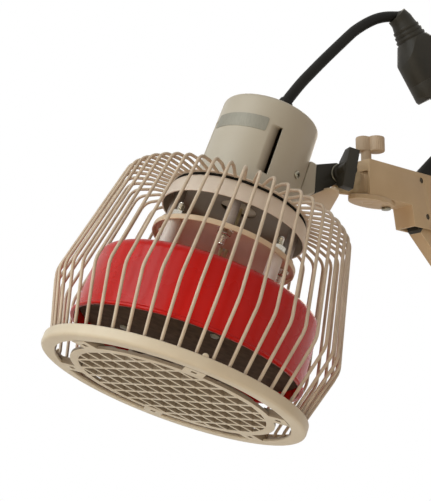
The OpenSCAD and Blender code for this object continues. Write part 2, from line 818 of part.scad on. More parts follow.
module guard_grille() {
    inner = grille_r - grille_rim;
    reach = ceil(grille_r / lattice_pitch);
    color("wheat") at_lamp() difference() {
        union() {
            linear_extrude(flange_t) difference() {
                circle(r = grille_r);
                circle(r = inner);
            }
            linear_extrude(lattice_t) intersection() {
                circle(r = inner + 0.5);
                rotate(20) union() for (turn = [0, 90], i = [-reach:reach])
                    rotate(turn) translate([i * lattice_pitch - lattice_bar / 2, -grille_r])
                        square([lattice_bar, 2 * grille_r]);
            }
            for (a = tab_turn) rotate([0, 0, a]) {
                translate([inner + 1, -7.5, 0]) cube([flange_r - 0.3 - inner - 1, 15, flange_t + tab_t]);
                translate([flange_r - 2, -7.5, flange_t]) cube([tab_r - flange_r + 2, 15, tab_t]);
            }
        }
        for (a = tab_turn) rotate([0, 0, a]) translate([grille_r + 3, -2, -1]) cube([4, 4, flange_t + tab_t + 2]);
    }
}

module guard_screws() {
    color("silver") at_lamp() round_axis(flange_r + 1.6, tab_turn)
        translate([0, 0, flange_t + tab_t]) cylinder(d1 = 3.8, d2 = 2.8, h = 1.4);
}

// Heater stack

module top_dish() {
    rim = dish_top - dish_h;
    outline = [
        [core_r, dish_top], [dish_r - 6.5, dish_top], [dish_r - 2.5, dish_top - 1], [dish_r - 0.5, dish_top - 4],
        [dish_r, rim], [dish_r - dish_sheet, rim], [dish_r - dish_sheet - 0.5, dish_top - 4.6],
        [dish_r - dish_sheet - 2, dish_top - 2.1], [dish_r - 7, dish_top - dish_sheet],
        [core_r, dish_top - dish_sheet]
    ];
    color("ivory") at_lamp() rotate_extrude() polygon(outline);
}

module upper_posts() {
    color("lightgray") at_lamp() round_axis(high_post_ring, high_post_turn)
        translate([0, 0, shield_top]) cylinder(d = high_post_d, h = high_post_h);
}

module shield_nuts() {
    color("silver") at_lamp() round_axis(high_post_ring, high_post_turn)
        translate([0, 0, shield_low - 4.4]) hexagon(5.8, 4.4);
}

module heat_shield() {
    lip = 3.2;
    hole = 4;
    outline = [
        [hole, shield_top], [shield_r, shield_top], [shield_r, shield_low - lip],
        [shield_r - 1.2, shield_low - lip], [shield_r - 1.2, shield_low], [hole, shield_low]
    ];
    color("ivory") at_lamp() rotate_extrude() polygon(outline);
}

module lower_posts() {
    color("white") at_lamp() round_axis(low_post_ring, low_post_turn)
        translate([0, 0, shell_top]) cylinder(d = low_post_d, h = low_post_h);
}

module post_screws() {
    color("silver") at_lamp() round_axis(low_post_ring - 1, low_post_turn) translate([0, 0, shield_top]) {
        cylinder(d = 12, h = 1.2);
        translate([0, 0, 1.2]) hexagon(5.5, 4.4);
        cylinder(d = 5, h = 13);
    }
}

module red_shell() {
    wall_top = shell_top - shell_round;
    shoulder = [for (a = [0:15:90])
        [shell_top_r - shell_round + shell_round * cos(a), wall_top + shell_round * sin(a)]];
    inner_r = shell_round - shell_sheet;
    inside = [for (a = [90:-15:0])
        [shell_top_r - shell_round + inner_r * cos(a), wall_top + inner_r * sin(a)]];
    outline = concat(
        [[shell_rim_r - 0.6, shell_z], [shell_rim_r, shell_z + 1], [shell_rim_r - 0.6, shell_z + 2],
         [shell_wall_r, shell_z + 3]],
        shoulder, [[core_r, shell_top], [core_r, shell_top - shell_sheet]], inside,
        [[shell_wall_r - shell_sheet, shell_z + 3], [shell_wall_r - shell_sheet, shell_z]]
    );
    color("firebrick") at_lamp() rotate_extrude() polygon(outline);
}

module insulation_pad() {
    color("khaki") at_lamp() translate([0, 0, pad_z]) difference() {
        cylinder(r = pad_r, h = shell_top - shell_sheet - 0.2 - pad_z);
        translate([0, 0, -1]) cylinder(r = core_r - 2, h = shell_h);
    }
}

module heater_former() {
    color("white") at_lamp() translate([0, 0, former_z]) cylinder(r = former_r, h = former_t);
}

module heater_coil() {
    color("dimgray") at_lamp() for (k = [0.3, 0.58, 0.86]) translate([0, 0, plate_top + coil_d / 2 + 0.1])
        rotate_extrude() translate([k * former_r, 0]) circle(d = coil_d, $fn = 24);
}

module mineral_plate() {
    color("maroon") at_lamp() translate([0, 0, plate_z]) cylinder(r = plate_r, h = plate_t);
}

module plate_screws() {
    color("silver") at_lamp() round_axis(0.72 * former_r, [30, 150, 270])
        translate([0, 0, plate_z - 1.6]) cylinder(d1 = 5, d2 = 7, h = 1.6);
}

// Leads and connector

module head_lead() {
    color("black") at_swivel() tube(head_route, lead_d, 10);
}

module arm_lead() {
    color("black") at_swivel() tube(arm_route, lead_d, 10);
}

// Frame of the connector: z runs down from the boot's bend
module at_plug() {
    translate(swivel_at + plug_at + boot_mouth * [cos(boot_dip), 0, -sin(boot_dip)])
        rotate([0, 90 + plug_dip, 0]) children();
}

// Block with rounded sides, wide along x
module pill(w, d, h) {
    for (x = [(d - w) / 2, (w - d) / 2]) translate([x, 0, 0]) cylinder(d = d, h = h);
    translate([(d - w) / 2, -d / 2, 0]) cube([w - d, d, h]);
}

module lead_plug() {
    neck_d = boot_mouth_d + 1.4;
    shoulder = plug_d + 0.5;
    color("black") difference() {
        union() {
            translate(swivel_at + plug_at) rotate([0, 90 + boot_dip, 0])
                cylinder(d1 = boot_mouth_d, d2 = neck_d, h = boot_mouth);
            at_plug() {
                sphere(d = neck_d);
                cylinder(d1 = neck_d, d2 = boot_end_d, h = boot_len);
                for (k = [0:2]) translate([0, 0, 6 + 4 * k]) cylinder(d = neck_d + 4 + 1.5 * k, h = 2);
                translate([0, 0, boot_len]) intersection() {
                    pill(plug_w, plug_d, plug_len);
                    cylinder(d1 = shoulder, d2 = shoulder + 1.06 * plug_len, h = plug_len);
                }
            }
        }
        translate(swivel_at + head_route[len(head_route) - 1]) rotate([0, 90 - lead_rise, 0])
            translate([0, 0, -9]) cylinder(d = lead_d + 0.4, h = 9.3);
    }
}

module lead_socket() {
    color("black") at_plug() translate([0, 0, boot_len + plug_len]) difference() {
        union() {
            intersection() {
                pill(plug_w, plug_d, socket_len);
                cylinder(d1 = plug_w + socket_len, d2 = plug_w - 6, h = socket_len);
            }
            translate([0, 0, socket_len]) cylinder(d1 = lead_d + 10, d2 = lead_d + 4, h = tail_len);
        }
        translate([0, 0, socket_len + tail_len - 3]) cylinder(d = lead_d + 0.6, h = 4);
    }
}

stand_spigot();
shoulder_bracket();
shoulder_pins();
arm_channel();
arm_nose();
tie_bar();
knuckle_box();
knuckle_pins();
leaf_plate();
leaf_screw();
lead_grommet();
wing_screw();
swivel_ear();
friction_discs();
pivot_bolt();
pivot_washer();
wing_knob();
head_bracket();
hinge_block();
bracket_screws();
neck_housing();
neck_screws();
cord_gland();
blank_label();
terminal_block();
inner_leads();
thermal_fuse();
cage_collar();
cage_wires();
cage_hoop();
guard_ring();
ring_clips();
guard_grille();
guard_screws();
top_dish();
upper_posts();
shield_nuts();
heat_shield();
lower_posts();
post_screws();
red_shell();
insulation_pad();
heater_former();
heater_coil();
mineral_plate();
plate_screws();
head_lead();
lead_plug();
lead_socket();
arm_lead();
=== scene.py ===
import json
import math

import bmesh
import bpy
from mathutils import Matrix, Vector


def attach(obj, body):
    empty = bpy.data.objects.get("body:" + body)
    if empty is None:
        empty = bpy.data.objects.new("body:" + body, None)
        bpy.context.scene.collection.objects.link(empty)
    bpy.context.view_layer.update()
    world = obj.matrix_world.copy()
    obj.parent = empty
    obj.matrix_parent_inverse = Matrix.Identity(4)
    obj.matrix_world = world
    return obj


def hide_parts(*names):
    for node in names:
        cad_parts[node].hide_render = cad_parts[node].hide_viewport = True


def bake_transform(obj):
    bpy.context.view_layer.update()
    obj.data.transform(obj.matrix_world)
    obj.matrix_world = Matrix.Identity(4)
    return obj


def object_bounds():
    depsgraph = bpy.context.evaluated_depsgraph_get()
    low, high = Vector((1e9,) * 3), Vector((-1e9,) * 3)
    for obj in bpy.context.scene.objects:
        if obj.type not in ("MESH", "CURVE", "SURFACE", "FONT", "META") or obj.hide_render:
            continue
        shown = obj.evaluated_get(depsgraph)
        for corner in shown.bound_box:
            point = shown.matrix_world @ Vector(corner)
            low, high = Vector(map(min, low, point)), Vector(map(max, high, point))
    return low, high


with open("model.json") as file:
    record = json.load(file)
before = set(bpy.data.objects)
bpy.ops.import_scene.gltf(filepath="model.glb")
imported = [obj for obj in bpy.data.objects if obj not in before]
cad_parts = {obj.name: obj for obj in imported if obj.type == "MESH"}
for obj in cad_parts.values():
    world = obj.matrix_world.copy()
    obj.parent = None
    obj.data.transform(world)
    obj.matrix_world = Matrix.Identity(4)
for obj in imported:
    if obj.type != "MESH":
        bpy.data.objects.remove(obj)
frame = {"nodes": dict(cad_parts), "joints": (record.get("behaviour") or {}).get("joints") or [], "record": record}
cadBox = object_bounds()
nodes = frame["nodes"]
scene = bpy.context.scene
mm = 0.001  # sizes of the pieces are given in mm

joints = {joint["name"]: joint for joint in frame["joints"]}
swivelTop = Vector(joints["lamp_swivel"]["pos_m"])
hingeBolt = Vector(joints["lamp_tilt"]["pos_m"])
bodyOf = {node: body for body, group in frame["record"]["behaviour"]["bodies"].items() for node in group}
slotOf = {part["node"]: part["material_slot"] for part in frame["record"]["subparts"]}
print("frame:", len(nodes), "nodes")

# lamp frame: z along the lamp's axis, zero under the bottom ring
lamp = {"tilt": 20.4, "hingeX": 64.44, "hingeZ": 211.39}
lampFrame = (
    Matrix.Translation(hingeBolt)
    @ Matrix.Rotation(math.radians(lamp["tilt"]), 4, "Y")
    @ Matrix.Translation((-lamp["hingeX"] * mm, 0, -lamp["hingeZ"] * mm))
)
lampAxis = lampFrame.to_3x3() @ Vector((0, 0, 1))


# camera

viewpoint = {
    "place": (-638.0, -933.4, -132.0),  # mm in the row frame
    "azimuth": -21.44,
    "elevation": -12.5,
    "focal": 106.7,
}


def addCamera(look):
    data = bpy.data.cameras.new("camera")
    data.sensor_fit = "HORIZONTAL"
    data.sensor_width = 36
    data.lens = look["focal"]
    camera = bpy.data.objects.new("camera", data)
    scene.collection.objects.link(camera)
    a = math.radians(look["azimuth"])
    e = math.radians(look["elevation"])
    back = Vector((math.sin(a) * math.cos(e), -math.cos(a) * math.cos(e), math.sin(e)))
    camera.location = Vector(look["place"]) * mm
    camera.rotation_euler = (-back).to_track_quat("-Z", "Y").to_euler()
    scene.camera = camera


addCamera(viewpoint)
print("camera set")


# studio

studio = {
    "floorDrop": 0.62,             # metres under the part
    "floorHalf": 12,
    "floorTone": (0.80, 0.79, 0.77, 1),
    "floorRough": 0.85,
    "glow": 0.45,                  # only as seen, it lights nothing
    "glowTone": (1, 0.99, 0.97, 1),
    "sky": (0.28, 0.30, 0.33),     # cool light from above and the left
    "ground": (0.74, 0.47, 0.24),  # warm light from below and the right
    "warmWay": (0.45, 0.25, -0.85),
    "warmSpan": 0.7,
    "lamps": {
        "key": {"place": (-1.6, -0.35, 0.85), "size": 1.5, "power": 25, "colour": (0.92, 0.97, 1.0)},
        "rim": {"place": (1.0, 1.3, 0.9), "size": 1.2, "power": 12, "colour": (1.0, 0.86, 0.64)},
        "fill": {"place": (-0.85, -1.0, -0.48), "size": 0.6, "power": 3.6, "colour": (1.0, 0.80, 0.56)},
    },
}
partMiddle = (cadBox[0] + cadBox[1]) / 2


def addLamp(name, look):
    data = bpy.data.lights.new(name, "AREA")
    data.size = look["size"]
    data.energy = look["power"]
    data.color = look["colour"]
    light = bpy.data.objects.new(name, data)
    scene.collection.objects.link(light)
    light.visible_camera = False
    place = partMiddle + Vector(look["place"])
    light.location = place
    light.rotation_euler = (partMiddle - place).to_track_quat("-Z", "Y").to_euler()


def seenRay(tree):
    # 1 for what the camera sees, straight, in a gloss or through glass
    path = tree.nodes.new("ShaderNodeLightPath")
    gloss = tree.nodes.new("ShaderNodeMath")
    gloss.operation = "MAXIMUM"
    through = tree.nodes.new("ShaderNodeMath")
    through.operation = "MAXIMUM"
    tree.links.new(path.outputs["Is Camera Ray"], gloss.inputs[0])
    tree.links.new(path.outputs["Is Glossy Ray"], gloss.inputs[1])
    tree.links.new(gloss.outputs["Value"], through.inputs[0])
    tree.links.new(path.outputs["Is Transmission Ray"], through.inputs[1])
    return through.outputs["Value"]


def addSky(look):
    # white as seen, cool and warm as light
    world = bpy.data.worlds.new("studio")
    world.use_nodes = True
    scene.world = world
    tree = world.node_tree
    tree.nodes.clear()
    output = tree.nodes.new("ShaderNodeOutputWorld")
    mix = tree.nodes.new("ShaderNodeMixShader")
    lit = tree.nodes.new("ShaderNodeBackground")
    white = tree.nodes.new("ShaderNodeBackground")
    white.inputs["Color"].default_value = (1, 1, 1, 1)
    coords = tree.nodes.new("ShaderNodeTexCoord")
    dot = tree.nodes.new("ShaderNodeVectorMath")
    dot.operation = "DOT_PRODUCT"
    dot.inputs[1].default_value = Vector(look["warmWay"]).normalized()
    ramp = tree.nodes.new("ShaderNodeMapRange")
    ramp.inputs["From Min"].default_value = -look["warmSpan"]
    ramp.inputs["From Max"].default_value = look["warmSpan"]
    blend = tree.nodes.new("ShaderNodeMix")
    blend.data_type = "RGBA"
    blend.inputs["A"].default_value = (*look["sky"], 1)
    blend.inputs["B"].default_value = (*look["ground"], 1)
    link = tree.links.new
    link(coords.outputs["Generated"], dot.inputs[0])
    link(dot.outputs["Value"], ramp.inputs["Value"])
    link(ramp.outputs["Result"], blend.inputs["Factor"])
    link(blend.outputs["Result"], lit.inputs["Color"])
    link(seenRay(tree), mix.inputs["Fac"])
    link(lit.outputs["Background"], mix.inputs[1])
    link(white.outputs["Background"], mix.inputs[2])
    link(mix.outputs["Shader"], output.inputs["Surface"])


def addFloor(look):
    half = look["floorHalf"]
    corners = [(-half, -half, 0), (half, -half, 0), (half, half, 0), (-half, half, 0)]
    mesh = bpy.data.meshes.new("floor")
    mesh.from_pydata(corners, [], [(0, 1, 2, 3)])
    floor = bpy.data.objects.new("floor", mesh)
    floor.location = (partMiddle.x, partMiddle.y, cadBox[0].z - look["floorDrop"])
    scene.collection.objects.link(floor)
    paper = bpy.data.materials.new("floorPaper")
    paper.use_nodes = True
    tree = paper.node_tree
    sheet = tree.nodes["Principled BSDF"]
    sheet.inputs["Base Color"].default_value = look["floorTone"]
    sheet.inputs["Roughness"].default_value = look["floorRough"]
    sheet.inputs["Emission Color"].default_value = look["glowTone"]
    glow = tree.nodes.new("ShaderNodeMath")
    glow.operation = "MULTIPLY"
    glow.inputs[1].default_value = look["glow"]
    tree.links.new(seenRay(tree), glow.inputs[0])
    tree.links.new(glow.outputs["Value"], sheet.inputs["Emission Strength"])
    mesh.materials.append(paper)


scene.view_settings.view_transform = "Standard"
addSky(studio)
for name, look in studio["lamps"].items():
    addLamp(name, look)
addFloor(studio)
print("studio ready")


# finishes


def linear(level):
    part = level / 255
    return ((part + 0.055) / 1.055) ** 2.4 if level > 10 else part / 12.92


def tone(red, green, blue):
    return linear(red), linear(green), linear(blue), 1


def startGroup(name, inputs, outputs):
    group = bpy.data.node_groups.new(name, "ShaderNodeTree")
    for title, kind, value in inputs:
        socket = group.interface.new_socket(name=title, in_out="INPUT", socket_type=kind)
        if value is not None:
            socket.default_value = value
    for title, kind in outputs:
        group.interface.new_socket(name=title, in_out="OUTPUT", socket_type=kind)
    return group, group.nodes.new("NodeGroupInput"), group.nodes.new("NodeGroupOutput")


def buildSkinGroup():
    # mottled tone, lighter edge chips of wear and painted highlight, dark brown painted shade on marked faces, a
    # slightly uneven gloss and a fine grain for bump
    group, source, result = startGroup(
        "skin",
        [
            ("Tone", "NodeSocketColor", None), ("Shade", "NodeSocketColor", None),
            ("Patch", "NodeSocketFloat", 30.0), ("Mix", "NodeSocketFloat", 0.3),
            ("Grain", "NodeSocketFloat", 900.0), ("Rough Low", "NodeSocketFloat", 0.3),
            ("Rough High", "NodeSocketFloat", 0.4), ("Worn", "NodeSocketColor", None),
            ("Wear", "NodeSocketFloat", 0.5), ("Soot", "NodeSocketColor", (0.075, 0.04, 0.018, 1)),
        ],
        [("Color", "NodeSocketColor"), ("Rough", "NodeSocketFloat"), ("Height", "NodeSocketFloat")],
    )
    new = group.nodes.new
    link = group.links.new
    coords = new("ShaderNodeTexCoord")

    # patches of the shade in the tone
    patch = new("ShaderNodeTexNoise")
    patch.inputs["Detail"].default_value = 4
    spread = new("ShaderNodeMapRange")
    spread.inputs["From Min"].default_value = 0.35
    spread.inputs["From Max"].default_value = 0.7
    weigh = new("ShaderNodeMath")
    weigh.operation = "MULTIPLY"
    mix = new("ShaderNodeMix")
    mix.data_type = "RGBA"
    link(coords.outputs["Object"], patch.inputs["Vector"])
    link(source.outputs["Patch"], patch.inputs["Scale"])
    link(patch.outputs["Fac"], spread.inputs["Value"])
    link(spread.outputs["Result"], weigh.inputs[0])
    link(source.outputs["Mix"], weigh.inputs[1])
    link(weigh.outputs["Value"], mix.inputs["Factor"])
    link(source.outputs["Tone"], mix.inputs["A"])
    link(source.outputs["Shade"], mix.inputs["B"])

    # lighter chips on the faces that are marked as edges: wear and a painted highlight
    edge = new("ShaderNodeAttribute")
    edge.attribute_name = "edge"
    chips = new("ShaderNodeTexNoise")
    chips.inputs["Scale"].default_value = 140
    chips.inputs["Detail"].default_value = 5
    chipSpread = new("ShaderNodeMapRange")
    chipSpread.inputs["From Min"].default_value = 0.3
    chipSpread.inputs["From Max"].default_value = 0.62
    onEdge = new("ShaderNodeMath")
    onEdge.operation = "MULTIPLY"
    wearHighlightAmount = new("ShaderNodeMath")
    wearHighlightAmount.operation = "MULTIPLY"
    wearHighlightMix = new("ShaderNodeMix")
    wearHighlightMix.data_type = "RGBA"
    link(coords.outputs["Object"], chips.inputs["Vector"])
    link(chips.outputs["Fac"], chipSpread.inputs["Value"])
    link(chipSpread.outputs["Result"], onEdge.inputs[0])
    link(edge.outputs["Fac"], onEdge.inputs[1])
    link(onEdge.outputs["Value"], wearHighlightAmount.inputs[0])
    link(source.outputs["Wear"], wearHighlightAmount.inputs[1])
    link(wearHighlightAmount.outputs["Value"], wearHighlightMix.inputs["Factor"])
    link(mix.outputs["Result"], wearHighlightMix.inputs["A"])
    link(source.outputs["Worn"], wearHighlightMix.inputs["B"])

    # painted shade, dark brown, on the faces that are marked for it
    soot = new("ShaderNodeAttribute")
    soot.attribute_name = "soot"
    paintedShadeMix = new("ShaderNodeMix")
    paintedShadeMix.data_type = "RGBA"
    link(soot.outputs["Fac"], paintedShadeMix.inputs["Factor"])
    link(wearHighlightMix.outputs["Result"], paintedShadeMix.inputs["A"])
    link(source.outputs["Soot"], paintedShadeMix.inputs["B"])
    link(paintedShadeMix.outputs["Result"], result.inputs["Color"])

    # gloss by patches, and the grain
    gloss = new("ShaderNodeMapRange")
    grain = new("ShaderNodeTexNoise")
    grain.inputs["Detail"].default_value = 3
    link(patch.outputs["Fac"], gloss.inputs["Value"])
    link(source.outputs["Rough Low"], gloss.inputs["To Min"])
    link(source.outputs["Rough High"], gloss.inputs["To Max"])
    link(gloss.outputs["Result"], result.inputs["Rough"])
    link(coords.outputs["Object"], grain.inputs["Vector"])
    link(source.outputs["Grain"], grain.inputs["Scale"])
    link(grain.outputs["Fac"], result.inputs["Height"])
    return group


def buildBrushGroup():
    # fine straight scratches along one way, for drawn or turned metal
    group, source, result = startGroup(
        "brushed",
        [
            ("Stretch", "NodeSocketVector", (60.0, 60.0, 2400.0)), ("Tone", "NodeSocketColor", None),
            ("Shade", "NodeSocketColor", None), ("Rough Low", "NodeSocketFloat", 0.18),
            ("Rough High", "NodeSocketFloat", 0.42),
        ],
        [("Color", "NodeSocketColor"), ("Rough", "NodeSocketFloat"), ("Height", "NodeSocketFloat")],
    )
    new = group.nodes.new
    link = group.links.new
    coords = new("ShaderNodeTexCoord")
    scale = new("ShaderNodeVectorMath")
    scale.operation = "MULTIPLY"
    lines = new("ShaderNodeTexNoise")
    lines.inputs["Scale"].default_value = 1
    lines.inputs["Detail"].default_value = 5
    mix = new("ShaderNodeMix")
    mix.data_type = "RGBA"
    gloss = new("ShaderNodeMapRange")
    link(coords.outputs["Object"], scale.inputs[0])
    link(source.outputs["Stretch"], scale.inputs[1])
    link(scale.outputs["Vector"], lines.inputs["Vector"])
    link(lines.outputs["Fac"], mix.inputs["Factor"])
    link(source.outputs["Tone"], mix.inputs["A"])
    link(source.outputs["Shade"], mix.inputs["B"])
    link(lines.outputs["Fac"], gloss.inputs["Value"])
    link(source.outputs["Rough Low"], gloss.inputs["To Min"])
    link(source.outputs["Rough High"], gloss.inputs["To Max"])
    link(mix.outputs["Result"], result.inputs["Color"])
    link(gloss.outputs["Result"], result.inputs["Rough"])
    link(lines.outputs["Fac"], result.inputs["Height"])
    return group


skinGroup = buildSkinGroup()
brushGroup = buildBrushGroup()


def startFinish(name, group):
    material = bpy.data.materials.new(name)
    material.use_nodes = True
    tree = material.node_tree
    shader = tree.nodes["Principled BSDF"]
    effect = tree.nodes.new("ShaderNodeGroup")
    effect.node_tree = group
    bump = tree.nodes.new("ShaderNodeBump")
    tree.links.new(effect.outputs["Color"], shader.inputs["Base Color"])
    tree.links.new(effect.outputs["Rough"], shader.inputs["Roughness"])
    tree.links.new(effect.outputs["Height"], bump.inputs["Height"])
    tree.links.new(bump.outputs["Normal"], shader.inputs["Normal"])
    return material, shader, effect, bump


def skinFinish(look):
    material, shader, effect, bump = startFinish(look["name"], skinGroup)
    effect.inputs["Tone"].default_value = look["tone"]
    effect.inputs["Shade"].default_value = look["shade"]
    # lighter edge chips: wear and a painted highlight
    effect.inputs["Worn"].default_value = look.get("worn", look["tone"])
    effect.inputs["Wear"].default_value = look.get("wear", 0.6)
    effect.inputs["Patch"].default_value = look["patch"]
    effect.inputs["Mix"].default_value = look.get("mix", 0.5)
    effect.inputs["Grain"].default_value = look["grain"]
    effect.inputs["Rough Low"].default_value = look["rough"][0]
    effect.inputs["Rough High"].default_value = look["rough"][1]
    bump.inputs["Strength"].default_value = 0.5
    bump.inputs["Distance"].default_value = look["bump"] * mm
    shader.inputs["Specular IOR Level"].default_value = look.get("shine", 0.35)
    return material


def metalFinish(look):
    material, shader, effect, bump = startFinish(look["name"], brushGroup)
    effect.inputs["Tone"].default_value = look["tone"]
    effect.inputs["Shade"].default_value = look["shade"]
    effect.inputs["Stretch"].default_value = look.get("stretch", (60, 60, 2400))
    effect.inputs["Rough Low"].default_value = look["rough"][0]
    effect.inputs["Rough High"].default_value = look["rough"][1]
    shader.inputs["Metallic"].default_value = look.get("metal", 1.0)
    bump.inputs["Strength"].default_value = 0.3
    bump.inputs["Distance"].default_value = 0.03 * mm
    return material


skins = {
    "cream_paint": {
        "name": "creamDishPaint", "tone": tone(222, 208, 190), "shade": tone(198, 182, 162), "patch": 40,
        "grain": 700, "rough": (0.4, 0.54), "bump": 0.04, "worn": tone(236, 224, 208),
    },
    "cage_enamel": {
        "name": "cageWireEnamel", "tone": tone(200, 182, 158), "shade": tone(162, 142, 118), "patch": 55,
        "grain": 700, "rough": (0.34, 0.5), "bump": 0.04, "worn": tone(226, 212, 192), "shine": 0.3,
    },
    "cream_plastic": {
        "name": "creamNeckPlastic", "tone": tone(180, 171, 152), "shade": tone(165, 154, 133), "patch": 18,
        "grain": 1100, "rough": (0.38, 0.5), "bump": 0.03, "worn": tone(206, 198, 180),
    },
    "cream_guard": {
        "name": "creamGuardPaint", "tone": tone(212, 199, 174), "shade": tone(190, 172, 143), "patch": 22,
        "grain": 1300, "rough": (0.38, 0.52), "bump": 0.03, "worn": tone(228, 214, 190), "shine": 0.25,
    },
    "beige_paint": {
        "name": "beigeArmPaint", "tone": tone(196, 170, 133), "shade": tone(178, 150, 114), "patch": 28,
        "grain": 1400, "rough": (0.44, 0.58), "bump": 0.05, "worn": tone(226, 206, 172), "wear": 0.85,
    },
    "beige_plastic": {
        "name": "beigeScrewPlastic", "tone": tone(186, 164, 136), "shade": tone(164, 140, 112), "patch": 40,
        "grain": 900, "rough": (0.42, 0.56), "bump": 0.04, "worn": tone(216, 198, 172),
    },
    "black_plastic": {
        "name": "blackKnobPlastic", "tone": tone(44, 40, 30), "shade": tone(28, 26, 20), "patch": 50,
        "mix": 0.6, "grain": 1500, "rough": (0.44, 0.6), "bump": 0.06, "worn": tone(84, 78, 66), "wear": 0.5,
        "shine": 0.25,
    },
    "black_rubber": {
        "name": "blackLeadJacket", "tone": tone(25, 23, 18), "shade": tone(16, 15, 12), "patch": 60,
        "mix": 0.6, "grain": 1200, "rough": (0.48, 0.64), "bump": 0.06, "worn": tone(66, 61, 52), "wear": 0.4,
        "shine": 0.16,
    },
    "red_paint": {
        "name": "redEnamel", "tone": tone(200, 20, 6), "shade": tone(166, 14, 4), "patch": 14, "mix": 0.6,
        "grain": 420, "rough": (0.2, 0.34), "bump": 0.04, "worn": tone(198, 70, 44), "shine": 0.2,
    },
    "mineral": {
        "name": "mineralPlate", "tone": tone(88, 67, 50), "shade": tone(60, 44, 33), "patch": 160, "mix": 0.9,
        "grain": 1600, "rough": (0.75, 0.95), "bump": 0.25, "shine": 0.2,
    },
    "white_ceramic": {
        "name": "whiteCeramic", "tone": tone(222, 213, 200), "shade": tone(202, 190, 174), "patch": 60,
        "grain": 900, "rough": (0.32, 0.48), "bump": 0.04,
    },
    "ivory_paint": {
        "name": "ivoryShieldPaint", "tone": tone(214, 192, 160), "shade": tone(190, 165, 130), "patch": 24,
        "grain": 800, "rough": (0.4, 0.55), "bump": 0.04, "worn": tone(230, 212, 182),
    },
    "mineral_wool": {
        "name": "mineralWool", "tone": tone(206, 194, 160), "shade": tone(170, 156, 120), "patch": 300,
        "mix": 0.9, "grain": 1800, "rough": (0.9, 1.0), "bump": 0.5,
    },
    "friction_fibre": {
        "name": "frictionFibre", "tone": tone(196, 176, 140), "shade": tone(166, 144, 110), "patch": 120,
        "mix": 0.8, "grain": 2000, "rough": (0.7, 0.9), "bump": 0.1, "shine": 0.2,
    },
    "lead_sleeve": {
        "name": "leadSleeve", "tone": tone(206, 190, 150), "shade": tone(170, 152, 112), "patch": 200,
        "mix": 0.8, "grain": 2400, "rough": (0.8, 0.95), "bump": 0.2,
    },
}

metals = {
    "dark_steel": {
        "name": "darkSteel", "tone": tone(84, 74, 60), "shade": tone(50, 43, 35), "rough": (0.4, 0.6),
    },
    "plated_steel": {
        "name": "platedSteel", "tone": tone(158, 152, 134), "shade": tone(104, 99, 84), "rough": (0.22, 0.42),
    },
    "bright_zinc": {
        "name": "brightZinc", "tone": tone(226, 222, 210), "shade": tone(180, 175, 162), "rough": (0.16, 0.3),
    },
    "post_alloy": {
        "name": "postAlloy", "tone": tone(164, 152, 142), "shade": tone(132, 120, 110), "rough": (0.5, 0.68),
        "metal": 0.3,
    },
    "coil_wire": {
        "name": "coilWire", "tone": tone(120, 112, 104), "shade": tone(76, 70, 66), "rough": (0.4, 0.6),
    },
    "label_film": {
        "name": "labelFilm", "tone": tone(146, 142, 127), "shade": tone(124, 120, 106), "rough": (0.45, 0.6),
        "stretch": (900, 900, 60), "metal": 0.25,
    },
}

finishes = {slot: skinFinish(look) for slot, look in skins.items()}
finishes.update({slot: metalFinish(look) for slot, look in metals.items()})
print("finishes:", len(finishes))


# mesh helpers


def onLamp(radius, turn, height):
    return lampFrame @ (Vector((radius * math.cos(turn), radius * math.sin(turn), height)) * mm)


def lampPlace(radius, turn, height):
    # frame of a fastener at a turn in degrees round the lamp
    around = lampFrame @ Matrix.Rotation(math.radians(turn), 4, "Z")
    return around @ Matrix.Translation(Vector((radius, 0, height)) * mm)


def evenTurns(count, start=0.0):
    return [start + 2 * math.pi * k / count for k in range(count)]


def roundCorner(a, b, c, radius, steps):
    # arc between the line from a to b and the line from b to c
    a, b, c = Vector(a), Vector(b), Vector(c)
    u, w = (a - b).normalized(), (c - b).normalized()
    half = math.acos(u.dot(w)) / 2
    centre = b + (u + w).normalized() * radius / math.sin(half)
    start = b + u * radius / math.tan(half) - centre
    stop = b + w * radius / math.tan(half) - centre
    return [centre + start.slerp(stop, i / steps).normalized() * radius for i in range(steps + 1)]


def smoothRoute(points, perSpan):
    # passes through every chosen point with an even bend
    points = [Vector(p) for p in points]
    ends = [2 * points[0] - points[1]] + points + [2 * points[-1] - points[-2]]
    route = []
    for i in range(1, len(ends) - 2):
        a, b, c, d = ends[i - 1:i + 3]
        for k in range(perSpan):
            t = k / perSpan
            route.append(0.5 * (2 * b + (c - a) * t + (2 * a - 5 * b + 4 * c - d) * t * t
                                + (3 * b - a - 3 * c + d) * t ** 3))
    return route + [points[-1]]


def joinRings(work, rings):
    for low, high in zip(rings, rings[1:]):
        for k in range(len(low)):
            n = (k + 1) % len(low)
            work.faces.new((low[k], low[n], high[n], high[k]))


def capRings(work, rings):
    work.faces.new(list(reversed(rings[0])))
    work.faces.new(rings[-1])


def addTube(work, route, radius, sides):
    turns = evenTurns(sides)
    rings = []
    normal = None
    for i, place in enumerate(route):
        way = (route[min(i + 1, len(route) - 1)] - route[max(i - 1, 0)]).normalized()
        normal = normal or way.orthogonal()
        normal = (normal - way * normal.dot(way)).normalized()
        side = way.cross(normal)
        around = [math.cos(t) * normal + math.sin(t) * side for t in turns]
        rings.append([work.verts.new(place + radius * out) for out in around])
    joinRings(work, rings)
    capRings(work, rings)


def addTurned(work, place, outline, sides, start=0.0):
    # solid of revolution from a foot to a head, closed at both ends
    turns = evenTurns(sides, start)
    rings = []
    for r, z in outline:
        around = [Vector((r * math.cos(t), r * math.sin(t), z)) * mm for t in turns]
        rings.append([work.verts.new(place @ spot) for spot in around])
    joinRings(work, rings)
    capRings(work, rings)


def breakEdges(work, sharp, width, segments):
    # the narrow new faces are marked, so that they show wear and a painted highlight
    edge = work.faces.layers.float.new("edge")
    broken = bmesh.ops.bevel(work, geom=sharp, offset=width * mm, offset_type="OFFSET", segments=segments,
                             profile=0.5, affect="EDGES", clamp_overlap=True)
    for face in broken["faces"]:
        face[edge] = 1


